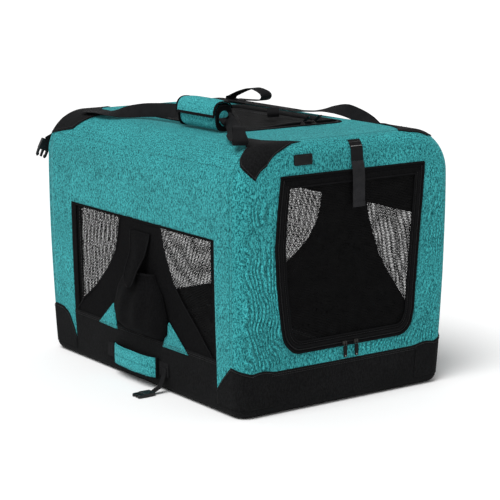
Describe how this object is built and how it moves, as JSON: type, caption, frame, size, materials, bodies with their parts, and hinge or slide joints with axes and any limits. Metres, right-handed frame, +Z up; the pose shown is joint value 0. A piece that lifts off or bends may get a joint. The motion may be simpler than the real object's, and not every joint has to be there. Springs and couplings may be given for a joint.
{
  "type": "folding canvas dog crate",
  "caption": "Folding canvas dog crate with net windows, a zipped front door and roof door, a side pouch and carry handles, on a steel tube frame.",
  "frame": {"origin": "middle of the base, on the ground", "axes": "+Z up, +Y from the front door towards the rear, +X to the right of someone who looks at the front door"},
  "size_m": [0.6505, 0.8445, 0.6404],
  "materials": {
    "teal_cloth": "heathered woven polyester canvas",
    "tube_steel": "grey powder coated tube",
    "black_plastic": "moulded, slightly glossy",
    "zip_metal": "black coated zip slider",
    "black_rubber": "soft moulded",
    "black_net": "fine open mesh",
    "black_cloth": "plain woven polyester",
    "black_webbing": "ribbed webbing"
  },
  "bodies": {
    "base": {"base_tub": "black_cloth", "base_frame": "tube_steel", "floor_board": "black_cloth", "front_left_bracket": "black_plastic", "front_right_bracket": "black_plastic", "rear_left_bracket": "black_plastic", "rear_right_bracket": "black_plastic", "front_panel": "teal_cloth", "rear_panel": "teal_cloth", "left_panel": "teal_cloth", "right_panel": "teal_cloth", "left_window_net": "black_net", "right_window_net": "black_net", "rear_window_net": "black_net", "left_gusset": "black_cloth", "right_gusset": "black_cloth", "front_zip_track": "black_cloth", "front_tie_seat": "black_webbing", "name_tag": "black_rubber", "side_pouch": "black_cloth", "fold_handle_web": "black_webbing"},
    "roof": {"roof_panel": "teal_cloth", "front_bow": "tube_steel", "rear_bow": "tube_steel", "left_rail": "tube_steel", "right_rail": "tube_steel", "front_left_clip": "black_plastic", "front_right_clip": "black_plastic", "rear_left_clip": "black_plastic", "rear_right_clip": "black_plastic", "front_left_patch": "black_cloth", "front_right_patch": "black_cloth", "rear_left_patch": "black_cloth", "rear_right_patch": "black_cloth", "top_zip_track": "black_cloth", "left_handle_strap": "black_webbing", "right_handle_strap": "black_webbing", "front_corner_loop": "black_webbing"},
    "front_legs": {"front_legs": "tube_steel"},
    "rear_legs": {"rear_legs": "tube_steel"},
    "front_door": {"front_door_border": "black_cloth", "front_door_net": "black_net"},
    "front_tie": {"front_tie": "black_webbing"},
    "top_door": {"top_door_border": "black_cloth", "top_door_net": "black_net"},
    "handle": {"handle_wrap": "teal_cloth"},
    "pouch_flap": {"pouch_flap": "black_cloth"},
    "fold_handle": {"fold_handle_pad": "teal_cloth"},
    "closure_strap": {"closure_strap": "black_webbing"},
    "closure_buckle": {"closure_buckle": "black_plastic"},
    "corner_strap": {"rear_corner_strap": "black_webbing"},
    "corner_buckle": {"rear_corner_buckle": "black_plastic"},
    "front_slider_left": {"front_zip_slider_left": "zip_metal"},
    "front_pull_left": {"front_zip_pull_left": "black_rubber"},
    "front_slider_right": {"front_zip_slider_right": "zip_metal"},
    "front_pull_right": {"front_zip_pull_right": "black_rubber"},
    "top_slider_left": {"top_zip_slider_left": "zip_metal"},
    "top_pull_left": {"top_zip_pull_left": "black_rubber"},
    "top_slider_right": {"top_zip_slider_right": "zip_metal"},
    "top_pull_right": {"top_zip_pull_right": "black_rubber"}
  },
  "joints": [
    {"name": "frame_fold", "type": "slide", "parent": "base", "child": "roof", "axis": [0, 0, -1], "range_m": [0, 0.385], "deforming": ["front_panel", "rear_panel", "left_panel", "right_panel", "left_window_net", "right_window_net", "rear_window_net", "left_gusset", "right_gusset", "front_zip_track"]},
    {"name": "front_legs_turn", "type": "hinge", "parent": "base", "child": "front_legs", "pos_m": [0, -0.343, 0.045], "axis": [-1, 0, 0], "range_deg": [0, 90.5]},
    {"name": "rear_legs_turn", "type": "hinge", "parent": "base", "child": "rear_legs", "pos_m": [0, 0.343, 0.045], "axis": [1, 0, 0], "range_deg": [0, 90.5]},
    {"name": "front_door_swing", "type": "hinge", "parent": "base", "child": "front_door", "pos_m": [0.008, -0.40399, 0.5017], "axis": [1, 0, 0], "range_deg": [-150, 0]},
    {"name": "front_tie_swing", "type": "hinge", "parent": "base", "child": "front_tie", "pos_m": [0.0195, -0.4053, 0.5297], "axis": [1, 0, 0], "range_deg": [-150, 0]},
    {"name": "top_door_swing", "type": "hinge", "parent": "roof", "child": "top_door", "pos_m": [0.012, 0.2217, 0.58], "axis": [1, 0, 0], "range_deg": [-110, 0]},
    {"name": "handle_lift", "type": "slide", "parent": "roof", "child": "handle", "axis": [0, 0, -1], "range_m": [-0.09, 0], "deforming": ["left_handle_strap", "right_handle_strap"]},
    {"name": "pouch_flap_lift", "type": "hinge", "parent": "base", "child": "pouch_flap", "pos_m": [-0.29234, -0.027, 0.352], "axis": [0, -1, 0], "range_deg": [-110, 0]},
    {"name": "fold_handle_pull", "type": "slide", "parent": "base", "child": "fold_handle", "axis": [1, 0, 0], "range_m": [-0.012, 0], "deforming": ["fold_handle_web"]},
    {"name": "closure_strap_swing", "type": "hinge", "parent": "base", "child": "closure_strap", "pos_m": [-0.28519, -0.112, 0.058], "axis": [0, -1, 0], "range_deg": [-80, 0]},
    {"name": "closure_buckle_swing", "type": "hinge", "parent": "closure_strap", "child": "closure_buckle", "pos_m": [-0.31429, -0.108, 0.009], "axis": [0, -1, 0], "range_deg": [-60, 0]},
    {"name": "corner_strap_swing", "type": "hinge", "parent": "roof", "child": "corner_strap", "pos_m": [-0.2468, 0.4072, 0.53], "axis": [-1, 0, 0], "range_deg": [-70, 0]},
    {"name": "corner_buckle_swing", "type": "hinge", "parent": "corner_strap", "child": "corner_buckle", "pos_m": [-0.2468, 0.42067, 0.5051], "axis": [-1, 0, 0], "range_deg": [-60, 0]},
    {"name": "front_zip_run_left", "type": "slide", "parent": "base", "child": "front_slider_left", "axis": [1, 0, 0], "range_m": [-0.115, 0]},
    {"name": "front_pull_swing_left", "type": "hinge", "parent": "front_slider_left", "child": "front_pull_left", "pos_m": [-0.0075, -0.40572, 0.1358], "axis": [1, 0, 0], "range_deg": [-120, 0]},
    {"name": "front_zip_run_right", "type": "slide", "parent": "base", "child": "front_slider_right", "axis": [-1, 0, 0], "range_m": [-0.115, 0]},
    {"name": "front_pull_swing_right", "type": "hinge", "parent": "front_slider_right", "child": "front_pull_right", "pos_m": [0.0235, -0.40572, 0.1358], "axis": [1, 0, 0], "range_deg": [-120, 0]},
    {"name": "top_zip_run_left", "type": "slide", "parent": "roof", "child": "top_slider_left", "axis": [1, 0, 0], "range_m": [-0.12, 0]},
    {"name": "top_pull_swing_left", "type": "hinge", "parent": "top_slider_left", "child": "top_pull_left", "pos_m": [0.0395, -0.1842, 0.5865], "axis": [1, 0, 0], "range_deg": [-120, 0]},
    {"name": "top_zip_run_right", "type": "slide", "parent": "roof", "child": "top_slider_right", "axis": [-1, 0, 0], "range_m": [-0.05, 0]},
    {"name": "top_pull_swing_right", "type": "hinge", "parent": "top_slider_right", "child": "top_pull_right", "pos_m": [0.0705, -0.1842, 0.5865], "axis": [1, 0, 0], "range_deg": [-120, 0]}
  ],
  "couplings": [
    {"joint": "front_legs_turn", "follows": "frame_fold", "rad_per_m": 4.08},
    {"joint": "rear_legs_turn", "follows": "frame_fold", "rad_per_m": 4.08},
    {"joint": "front_tie_swing", "follows": "front_door_swing", "ratio": 1}
  ]
}
